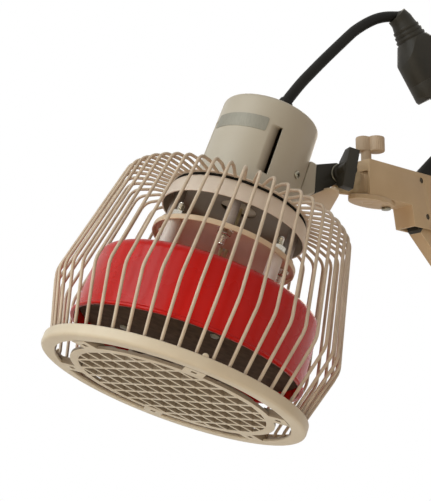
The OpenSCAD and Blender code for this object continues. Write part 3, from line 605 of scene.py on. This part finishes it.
def finishMesh(work, name, angle):
    mesh = bpy.data.meshes.new(name)
    work.to_mesh(mesh)
    work.free()
    mesh.shade_smooth()
    mesh.set_sharp_from_angle(angle=math.radians(angle))
    return mesh


def addPiece(name, mesh, body, slot, *stands, look=None):
    piece = bpy.data.objects.new(name, mesh)
    scene.collection.objects.link(piece)
    mesh.materials.clear()
    mesh.materials.append(finishes[look or slot])
    if body:
        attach(piece, body)
    if stands:
        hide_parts(*stands)
    return piece


# pieces that keep the shape of their solid

solid = {
    "weld": 0.002,     # mm
    "flat": 0.4,       # degrees, up to which neighbouring faces are one
    "sharp": 32,       # degrees, from which an edge is broken
    "browning": 0.65,  # painted shade on the lattice's walls and upper side
}
otherSlots = {"leaf_screw": "plated_steel", "thermal_fuse": "white_ceramic"}  # in place of the record's


def shadeLatticeCells(work):
    # painted shade in the lattice's cells, the lower faces stay light
    soot = work.faces.layers.float.new("soot")
    for face in work.faces:
        upper = face.normal.dot(lampAxis) > -0.5  # walls and upper side
        face[soot] = solid["browning"] if upper else 0


def roundEdges(node, name, width, rides=True):
    # the node's own solid with its sharp edges broken
    flat, sharp = math.radians(solid["flat"]), math.radians(solid["sharp"])
    work = bmesh.new()
    work.from_mesh(nodes[node].data)
    bmesh.ops.remove_doubles(work, verts=work.verts, dist=solid["weld"] * mm)
    bmesh.ops.dissolve_limit(work, angle_limit=flat, verts=work.verts, edges=work.edges)
    joined = [edge for edge in work.edges if len(edge.link_faces) == 2]
    breakEdges(work, [edge for edge in joined if edge.calc_face_angle(0) > sharp], width, segments=2)
    if node == "guard_grille":
        shadeLatticeCells(work)
    mesh = finishMesh(work, name, angle=50)
    return addPiece(name, mesh, bodyOf[node] if rides else None, otherSlots.get(node, slotOf[node]), node)


# leads

leads = {
    "lampLead": {
        "node": "head_lead",
        "bodies": ("lamp", "swivel"),
        "relief": ("cord_gland", "cordGland", 0.3),  # node, name and edge in mm
        "half": ("lead_plug", "leadPlug", 0.9),
        "route": [                                   # mm from swivelTop
            (-83, 0, 24.5), (-77, 0, 32.7), (-67.3, 0.6, 46.1), (-56, 1.5, 60.4), (-45.8, 2.4, 71.7),
            (-34.9, 3.4, 83.4), (-26.5, 4.3, 92.1), (-18.2, 5.2, 100.6), (-7, 6.8, 111.9),
            (-1.3, 7.6, 116.9), (7.4, 8.8, 123.4), (16.1, 10, 128.8), (22.4, 10.8, 131.8),
            (28.5, 11.5, 133.9), (34.1, 12, 135.2), (40.4, 12, 136.1),
        ],
    },
    "armLead": {
        "node": "arm_lead",
        "bodies": ("knuckle", "swivel"),
        "relief": ("lead_grommet", "leadGrommet", 0.3),
        "half": ("lead_socket", "leadSocket", 0.9),
        "route": [
            (63.9, 22.2, 0.5), (67.2, 22.1, 4.3), (70.4, 22, 8.1), (73.7, 21.9, 11.9), (76.9, 21.8, 15.7),
            (80.3, 21.5, 19.6), (83.6, 20.7, 24.1), (86.3, 19.5, 29.3), (88.2, 18, 34.9),
            (89.2, 16.4, 40.6), (89.2, 14.8, 46.5), (88.3, 13.5, 52.3), (86.6, 12.5, 57.9), (84.3, 12, 62.6),
        ],
    },
}
jacket = {"diameter": 9.0, "sides": 20, "perSpan": 4, "reliefCuts": 12, "cutEvery": 2}


def addRelief(lead, route):
    # strain relief with enough rings to bend with its lead
    relief = roundEdges(*lead["relief"], rides=False)
    way = (route[jacket["perSpan"]] - route[0]).normalized()
    work = bmesh.new()
    work.from_mesh(relief.data)
    for k in range(1, jacket["reliefCuts"] + 1):
        every = [*work.verts, *work.edges, *work.faces]
        place = route[0] + way * jacket["cutEvery"] * k * mm
        bmesh.ops.bisect_plane(work, geom=every, plane_co=place, plane_no=way)
    work.to_mesh(relief.data)
    work.free()
    return relief


def addLead(name, lead):
    route = smoothRoute([swivelTop + Vector(p) * mm for p in lead["route"]], jacket["perSpan"])
    work = bmesh.new()
    addTube(work, route, jacket["diameter"] / 2 * mm, jacket["sides"])
    cord = addPiece(name, finishMesh(work, name, angle=40), None, "black_rubber", lead["node"])
    for piece in (cord, addRelief(lead, route)):
        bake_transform(piece)


connector = {name: roundEdges(*lead["half"]) for name, lead in leads.items()}
for name, lead in leads.items():
    addLead(name, lead)
print("leads laid")


# cage

cage = {
    "wires": 50,
    "first": -88.3,             # degrees round the lamp
    "thick": 2.5,
    "sides": 10,
    "foot": (96.2, 5.35),       # radius and height
    "lip": (96.6, 9.5),
    "wide": (110, 53.8),
    "shoulder": (89.2, 150.3),
    "crown": (72, 154.2),
    "end": (55.6, 154.2),
    "wideBend": (19, 6),        # radius and steps
    "shoulderBend": (10, 8),
    "crownBend": (12, 3),
}


def addCage(size):
    profile = [Vector(size["foot"]), Vector(size["lip"])]
    profile += roundCorner(size["lip"], size["wide"], size["shoulder"], *size["wideBend"])
    profile += roundCorner(size["wide"], size["shoulder"], size["crown"], *size["shoulderBend"])
    profile += roundCorner(size["shoulder"], size["crown"], size["end"], *size["crownBend"])
    profile.append(Vector(size["end"]))
    work = bmesh.new()
    for i in range(size["wires"]):
        turn = math.radians(size["first"] + 360 * i / size["wires"])
        route = [onLamp(p.x, turn, p.y) for p in profile]
        addTube(work, route, size["thick"] / 2 * mm, size["sides"])
    mesh = finishMesh(work, "cageWires", angle=60)
    addPiece("cageWires", mesh, "lamp", slotOf["cage_wires"], "cage_wires", look="cage_enamel")


addCage(cage)
print("cage wires bent")


# round pieces of the lamp, from corners of radius, height and rounding

rounds = {
    "guardRing": ("guard_ring", [
        (101.5, 0, 2.6), (101.5, 8.9, 1.5), (98.5, 8.9, 0.7),
        (98.5, 2.2, 0.5), (90.5, 2.2, 0.7), (90.5, 0, 0.7),
    ]),
    "redShell": ("red_shell", [
        (89.2, 29.5, 0.3), (90, 30.1, 0.4), (90, 31.3, 0.5), (88.3, 32.6, 0.8), (86.4, 84, 7.6),
        (14, 84, 0.4), (14, 82.8, 0.4), (85.2, 82.8, 6.4), (87.1, 32.5, 0), (87.1, 29.5, 0.3),
    ]),
    "heatShield": ("heat_shield", [
        (4, 118, 0.3), (56.5, 118, 0.9), (56.5, 113.6, 0.5),
        (55.3, 113.6, 0.4), (55.3, 116.8, 0.3), (4, 116.8, 0.3),
    ]),
    "topDish": ("top_dish", [
        (14, 153, 0.4), (54.4, 153, 5), (57, 137, 0.4),
        (55.8, 137, 0.4), (53.4, 151.8, 4), (14, 151.8, 0.4),
    ]),
    "cageCollar": ("cage_collar", [
        (44, 153, 0.4), (44, 155.4, 0.6), (56, 155.4, 0.5),
        (56, 154.4, 0.3), (50, 154.4, 0.3), (50, 153, 0.3),
    ]),
    # black ring in the groove between collar and dish, a painted shadow of the gap
    "collarGasket": (None, [
        (50.2, 153.1, 0.2), (50.2, 154.3, 0.2), (53.2, 154.3, 0.3), (53.2, 153.1, 0.3),
    ]),
}
lathe = {"sides": 160, "cornerSteps": 4}
dish = {"browning": 0.7, "cleanUnder": 138.6}  # painted shade on the inside, above the height of the lip


def softLoop(corners):
    outline = []
    for i, (r, z, soft) in enumerate(corners):
        before, after = corners[i - 1], corners[(i + 1) % len(corners)]
        if soft:
            outline += roundCorner(before[:2], (r, z), after[:2], soft, lathe["cornerSteps"])
        else:
            outline.append(Vector((r, z)))
    return outline


def shadeDishInside(work):
    # painted shade on all of the inside but the lip
    soot = work.faces.layers.float.new("soot")
    toLamp = lampFrame.inverted()
    for face in work.faces:
        spot = toLamp @ face.calc_center_median()
        way = toLamp.to_3x3() @ face.normal
        inside = way.z < -0.5 or way.x * spot.x + way.y * spot.y < 0
        face[soot] = dish["browning"] if inside and spot.z > dish["cleanUnder"] * mm else 0


def addLathe(name, node, corners):
    outline = softLoop(corners)
    work = bmesh.new()
    turns = evenTurns(lathe["sides"])
    rings = [[work.verts.new(onLamp(p.x, turn, p.y)) for p in outline] for turn in turns]
    joinRings(work, rings + rings[:1])
    bmesh.ops.recalc_face_normals(work, faces=work.faces)
    if node == "top_dish":
        shadeDishInside(work)
    mesh = finishMesh(work, name, angle=35)
    if node:
        addPiece(name, mesh, "lamp", slotOf[node], node)
    else:
        # the ring with no node is the painted shadow in the collar's groove
        addPiece(name, mesh, "lamp", "black_rubber")


for name, (node, corners) in rounds.items():
    addLathe(name, node, corners)
print("round pieces turned:", len(rounds))


# neck with pressed vents

neck = {
    "foot": (40.2, 153),            # radius and height
    "shoulder": (38.7, 229.8),
    "round": 3,
    "roundSteps": 8,
    "top": (28, 18, 8.6),           # radii of the flat top, in to the lead's hole
    "wall": 1.8,
    "rows": (158, 164, 180, 190, 200, 217, 224),
    "columnStep": 3.0,              # degrees
    "columnClear": 0.4,
    "vents": (-93.5, 176.5, 86.5),  # degrees round the lamp
    "ventRadius": 39.6,
    "ventWide": 4.8,
    "ventLow": 171,
    "ventHigh": 211,
    "ventSoft": 1.4,                # height in which a vent's ends run out
    "ramp": 7.7,                    # width that is pressed in
    "rampColumns": 8,
    "rampBend": 1.3,
    "gap": 2.0,                     # width of the opening
    "press": 4.4,
    "ventBrowning": 0.5,            # painted shade where the wall is pressed in most
    # painted shade on the inside of the wall
    "insideBrowning": 0.6,
}
perDegree = neck["ventRadius"] * math.pi / 180


def neckRadius(height):
    (footR, footZ), (headR, headZ) = neck["foot"], neck["shoulder"]
    return footR + (headR - footR) * (height - footZ) / (headZ - footZ)


def ventLip(vent):
    return vent + neck["ventWide"] / 2 / perDegree


def ventDepth(turn, height):
    # how far the wall is pressed in at a place
    ends = min(height - neck["ventLow"], neck["ventHigh"] - height) / neck["ventSoft"]
    if ends <= 0:
        return 0.0
    for vent in neck["vents"]:
        back = ((ventLip(vent) - turn) % 360) * perDegree - neck["gap"]
        if -0.01 <= back < neck["ramp"]:
            return neck["press"] * (1 - back / neck["ramp"]) ** neck["rampBend"] * min(ends, 1)
    return 0.0


def neckColumns(size):
    # turn of each column of points, and whether a vent opens between it and the next
    step, last = size["columnStep"], size["rampColumns"]
    columns = {round(step * k, 3): False for k in range(round(360 / step))}
    for vent in size["vents"]:
        lip = ventLip(vent)
        start = lip - (size["gap"] + size["ramp"]) / perDegree
        for turn in list(columns):
            if (turn - start) % 360 < lip - start + size["columnClear"]:
                del columns[turn]
        for k in range(last + 1):
            columns[round((start + k * size["ramp"] / last / perDegree) % 360, 3)] = k == last
        columns[round(lip % 360, 3)] = False
    return columns


def neckProfile(size):
    # radius, height and outward way of each row of points
    low, high, soft = size["ventLow"], size["ventHigh"], size["ventSoft"]
    ventRows = [low, low + soft / 2, low + soft, high - soft, high - soft / 2, high]
    heights = sorted([size["foot"][1], *size["rows"], *ventRows])
    profile = [(neckRadius(z), z, (1, 0)) for z in heights]
    headR, headZ = size["shoulder"]
    for k in range(size["roundSteps"] + 1):
        a = math.pi / 2 * k / size["roundSteps"]
        inward, upward = size["round"] * (1 - math.cos(a)), size["round"] * math.sin(a)
        profile.append((headR - inward, headZ + upward, (math.cos(a), math.sin(a))))
    return profile + [(r, headZ + size["round"], (0, 1)) for r in size["top"]]


def addNeck(size):
    columns, profile = neckColumns(size), neckProfile(size)
    turns = sorted(columns)
    work = bmesh.new()
    soot = work.faces.layers.float.new("soot")
    outer, inner, depth = {}, {}, {}
    for i, (r, z, out) in enumerate(profile):
        for k, turn in enumerate(turns):
            a, deep = math.radians(turn), ventDepth(turn, z)
            inside = (r - deep - out[0] * size["wall"], a, z - out[1] * size["wall"])
            outer[i, k] = work.verts.new(onLamp(r - deep, a, z))
            inner[i, k] = work.verts.new(onLamp(*inside))
            depth[i, k] = deep
    walls = []
    for i in range(len(profile) - 1):
        between = (profile[i][1] + profile[i + 1][1]) / 2
        for k, turn in enumerate(turns):
            if columns[turn] and size["ventLow"] < between < size["ventHigh"]:
                continue
            n = (k + 1) % len(turns)
            walls.append(((i, k), (i, n), (i + 1, n), (i + 1, k)))
    for wall in walls:
        face = work.faces.new([outer[at] for at in wall])
        # painted shade: darker where the wall is pressed in, and on the whole inside
        face[soot] = size["ventBrowning"] * max(depth[at] for at in wall) / size["press"]
        work.faces.new([inner[at] for at in reversed(wall)])[soot] = size["insideBrowning"]
    sides = [side for wall in walls for side in zip(wall, wall[1:] + wall[:1])]
    paired = set(sides)
    for a, b in sides:
        if (b, a) not in paired:
            work.faces.new((outer[b], outer[a], inner[a], inner[b]))
    bmesh.ops.recalc_face_normals(work, faces=work.faces)
    mesh = finishMesh(work, "neckHousing", angle=32)
    addPiece("neckHousing", mesh, "lamp", slotOf["neck_housing"], "neck_housing")


addNeck(neck)
print("neck pressed")


# blank label

label = {
    "turn": -143,
    "middle": 208.7,
    "wide": 48,
    "high": 11.5,
    "corner": 1.6,
    "proud": 0.3,        # outer and inner face over the neck's wall
    "lift": 0.02,
    "columns": 32,
    "rows": (-2, 0, 2),  # between the rounded corners
}


def rimOf(rows):
    # the points round the edge of a grid
    return rows[0] + [row[-1] for row in rows[1:]] + rows[-1][-2::-1] + [row[0] for row in rows[-2:0:-1]]


def addLabel(size):
    half, corner, columns = size["high"] / 2, size["corner"], size["columns"]
    steps = [half - corner * (1 - math.sin(math.radians(a))) for a in (0, 30, 60, 90)]
    work = bmesh.new()
    tops, feet = [], []
    for v in [*(-step for step in reversed(steps)), *size["rows"], *steps]:
        z = size["middle"] + v
        r = neckRadius(z)
        over = max(abs(v) - (half - corner), 0)
        reach = size["wide"] / 2 - corner + math.sqrt(max(corner ** 2 - over ** 2, 0))
        turns = [math.radians(size["turn"]) + reach * (2 * k / columns - 1) / r for k in range(columns + 1)]
        tops.append([work.verts.new(onLamp(r + size["proud"], t, z)) for t in turns])
        feet.append([work.verts.new(onLamp(r + size["lift"], t, z)) for t in turns])
    for rows in (tops, feet):
        for lower, upper in zip(rows, rows[1:]):
            for k in range(columns):
                work.faces.new((lower[k], lower[k + 1], upper[k + 1], upper[k]))
    joinRings(work, [rimOf(tops), rimOf(feet)])
    bmesh.ops.recalc_face_normals(work, faces=work.faces)
    mesh = finishMesh(work, "blankLabel", angle=40)
    addPiece("blankLabel", mesh, "lamp", slotOf["blank_label"], "blank_label")


addLabel(label)
print("label laid")


# screws with a cross recess, placed by radius, turn, height and lean

crossHeads = {
    "neckScrews": {
        "node": "neck_screws", "radius": 3.2, "high": 1.6, "cross": (2.0, 0.55), "deep": 1.0,
        "at": [(39.57, turn, 185.3, 88.9) for turn in (-51.6, 51.6)],
    },
    "guardScrews": {
        "node": "guard_screws", "radius": 1.9, "high": 1.4, "cross": (1.2, 0.35), "deep": 0.7,
        "at": [(92.1, turn, 5.2, 0) for turn in (20, 80, 140, 200, 260, 320)],
    },
}
headCurve = [(1, 0), (1, 0.3), (0.93, 0.62), (0.8, 0.84), (0.72, 0.92)]  # shares of radius and height
recessCurve = [(1, 0), (0.86, 1)]                                        # shares of cross and depth


def crossReach(turn, reach, half):
    # distance from the middle of a cross to its outline
    small, big = sorted((abs(math.cos(turn)), abs(math.sin(turn))))
    return min(reach / big, half / small if small > 0.0001 else reach)


def addCrossHead(work, place, size):
    reach, half = size["cross"]
    corner, flank, quarter = math.atan(half / reach), 0.4, math.pi / 2
    stops = (0, corner, flank, quarter / 2, quarter - flank, quarter - corner)
    turns = [quarter * k + stop for k in range(4) for stop in stops]
    rings = []
    for share, rise in headCurve:
        r, z = size["radius"] * share, size["high"] * rise
        rings.append([(r * math.cos(t), r * math.sin(t), z) for t in turns])
    for share, drop in recessCurve:
        spans = [(t, crossReach(t, reach, half) * share) for t in turns]
        z = size["high"] - drop * size["deep"]
        rings.append([(r * math.cos(t), r * math.sin(t), z) for t, r in spans])
    made = [[work.verts.new(place @ (Vector(p) * mm)) for p in ring] for ring in rings]
    joinRings(work, made)
    capRings(work, made)


def addScrews(name, size):
    work = bmesh.new()
    for radius, turn, height, lean in size["at"]:
        place = lampPlace(radius, turn, height) @ Matrix.Rotation(math.radians(lean), 4, "Y")
        addCrossHead(work, place, size)
    bmesh.ops.recalc_face_normals(work, faces=work.faces)
    addPiece(name, finishMesh(work, name, angle=38), "lamp", slotOf[size["node"]], size["node"])


for name, size in crossHeads.items():
    addScrews(name, size)
print("screws made")


# studs with a washer, a nut and a thread, over and under the heat shield

studs = {
    "postScrews": {
        "node": "post_screws", "ring": 48.75, "turns": (-162, -57, 18, 123), "foot": 118, "flip": 0,
    },
    "shieldNuts": {
        "node": "shield_nuts", "ring": 46, "turns": (-111, -19.5, 69, 160.5), "foot": 116.8, "flip": 180,
    },
}
stud = {
    "washer": [(5.75, 0), (6, 0.25), (6, 0.9), (5.7, 1.2)],  # radius and height
    "nut": [(5.5, 1.2), (5.5, 5.1), (4.8, 5.6)],
    "nutTurn": 11,                                           # keeps the nuts from standing alike
    "crest": 2.5,
    "root": 2.1,
    "pitch": 0.8,
    "sunk": 5.3,                                             # foot of the thread's core, in the nut
    "first": 5.6,                                            # heights between which it has turns
    "last": 12.4,
    "tip": [(2.1, 12.6), (1.6, 13)],
}


def threadOutline(size):
    root, pitch, z = size["root"], size["pitch"], size["first"]
    outline = [(root, size["sunk"])]
    while z + pitch < size["last"]:
        outline += [(root, z), (size["crest"], z + pitch / 2)]
        z += pitch
    return [*outline, (root, z), *size["tip"]]


def addStuds(name, group):
    work = bmesh.new()
    thread = threadOutline(stud)
    for turn in group["turns"]:
        place = lampPlace(group["ring"], turn, group["foot"])
        place = place @ Matrix.Rotation(math.radians(group["flip"]), 4, "X")
        addTurned(work, place, stud["washer"], sides=40)
        addTurned(work, place, stud["nut"], sides=6, start=math.radians(stud["nutTurn"] * turn))
        addTurned(work, place, thread, sides=20)
    bmesh.ops.recalc_face_normals(work, faces=work.faces)
    mesh = finishMesh(work, name, angle=35)
    addPiece(name, mesh, "lamp", slotOf[group["node"]], group["node"], look="bright_zinc")


for name, group in studs.items():
    addStuds(name, group)
print("studs made")


# bracket between the neck and the hinge

bracket = {
    "saddle": [(37, 209), (42.7, 208.8), (48.9, 186), (43.6, 181), (37, 181)],  # side view, x and z
    "saddleHalf": 15,
    "saddleEdge": 1.2,
    "plate": [
        (44, -2), (52.5, -2), (59.5, -24), (64, -22.5), (68, -15), (78, 20), (76, 26), (44, 26),
    ],                                                                          # top view, x and y
    "plateLow": 192,
    "plateHigh": 194.5,
    "plateEdge": 0.5,
}


def addSlab(name, slot, low, high, width, *stands):
    # two matching outlines joined to a slab with broken edges
    work = bmesh.new()
    ends = [[work.verts.new(lampFrame @ (Vector(p) * mm)) for p in outline] for outline in (low, high)]
    joinRings(work, ends)
    capRings(work, ends)
    bmesh.ops.recalc_face_normals(work, faces=work.faces)
    breakEdges(work, list(work.edges), width, segments=3)
    addPiece(name, finishMesh(work, name, angle=50), "lamp", slot, *stands)


def addBracket(size):
    half = size["saddleHalf"]
    near, far = [[(x, y, z) for x, z in size["saddle"]] for y in (-half, half)]
    addSlab("bracketSaddle", "cream_plastic", near, far, size["saddleEdge"])
    low, high = [[(x, y, z) for x, y in size["plate"]] for z in (size["plateLow"], size["plateHigh"])]
    # the plate takes the lighter ivory as painted light from below, though the whole bracket is one beige piece
    addSlab("bracketPlate", "ivory_paint", low, high, size["plateEdge"], "head_bracket")


addBracket(bracket)
print("bracket made")


# clamp screw with two fluted lobes

clamp = {
    "lobes": [(-2.7, 5.5), (0, 4.5), (8.6, 6.6)],    # distance from the axis and radius
    "heart": 2.0,                                    # point from which the whole outline is seen
    "turn": -21,
    "low": 9.0,
    "high": 21.5,
    "flutePitch": 1.7,
    "fluteDeep": 0.32,
    "footCurve": [(1.1, 0), (0.3, 0.35), (0, 1.1)],  # inset, and distance from the low or high end
    "headCurve": [(0, 1.2), (0.35, 0.4), (1.3, 0)],
    "collar": [(4.2, 0.3), (4.2, 8.2), (4.7, 9.2)],  # radius and height
    "points": 240,
}


def lobeOutline(size):
    count = size["points"]
    outline = []
    for way in evenTurns(count):
        reach = 0
        for middle, radius in size["lobes"]:
            offset = middle - size["heart"]
            along = offset * math.cos(way)
            square = along ** 2 - offset ** 2 + radius ** 2
            if square >= 0:
                reach = max(reach, along + math.sqrt(square))
        outline.append((way, reach))
    length = 0
    fluted = []
    for k, (way, reach) in enumerate(outline):
        groove = abs(math.sin(math.pi * length / size["flutePitch"]))
        fluted.append((way, reach - size["fluteDeep"] * (1 - groove)))
        before = outline[k - 1]
        length += math.hypot(reach - before[1], reach * 2 * math.pi / count)
    return fluted


def addClamp(size):
    outline = lobeOutline(size)
    heart, low, high = size["heart"], size["low"], size["high"]
    place = Matrix.Translation(swivelTop) @ Matrix.Rotation(math.radians(size["turn"]), 4, "Z")
    levels = [(inset, low + up) for inset, up in size["footCurve"]]
    levels += [(inset, high - down) for inset, down in size["headCurve"]]
    work = bmesh.new()
    rings = []
    for inset, z in levels:
        spans = [(way, reach - inset) for way, reach in outline]
        ring = [Vector((heart + r * math.cos(way), r * math.sin(way), z)) for way, r in spans]
        rings.append([work.verts.new(place @ (p * mm)) for p in ring])
    joinRings(work, rings)
    for ring, z in ((rings[0], low), (rings[-1], high)):
        tip = work.verts.new(place @ (Vector((heart, 0, z)) * mm))
        for k in range(len(ring)):
            work.faces.new((ring[k], ring[(k + 1) % len(ring)], tip))
    addTurned(work, place, size["collar"], sides=40)
    bmesh.ops.recalc_face_normals(work, faces=work.faces)
    mesh = finishMesh(work, "clampScrew", angle=45)
    addPiece("clampScrew", mesh, "clamp_screw", slotOf["wing_screw"], "wing_screw")


addClamp(clamp)
print("clamp screw made")


# widths of the broken edges of the other pieces that keep the shape of their solid

edges = {
    "knuckle_box": 0.7, "leaf_plate": 0.5, "swivel_ear": 0.5, "hinge_block": 0.8,
    "arm_channel": 0.6, "arm_nose": 0.6, "tie_bar": 0.5, "shoulder_bracket": 0.7, "wing_knob": 1.6,
    "guard_grille": 0.5, "ring_clips": 0.4, "pivot_washer": 0.3,
    "stand_spigot": 0.4, "terminal_block": 0.6, "friction_discs": 0.3,
    "lower_posts": 0.5, "upper_posts": 0.5, "mineral_plate": 0.6, "bracket_screws": 0.3,
    "pivot_bolt": 0.4, "leaf_screw": 0.3, "knuckle_pins": 0.4, "shoulder_pins": 0.4, "heater_former": 0.8,
    "insulation_pad": 0.8, "thermal_fuse": 0.6, "plate_screws": 0.3,
}

for node, width in edges.items():
    words = node.split("_")
    roundEdges(node, words[0] + "".join(word.title() for word in words[1:]), width)
print("edges broken:", len(edges))

# the nodes that are left keep their solids
plainLooks = {"cage_hoop": "cage_enamel"}
shown = [node for node in nodes if not nodes[node].hide_render]
for node in shown:
    mesh = nodes[node].data
    mesh.materials.clear()
    mesh.materials.append(finishes[plainLooks.get(node, slotOf[node])])
print("finishes on", len(shown), "plain nodes")
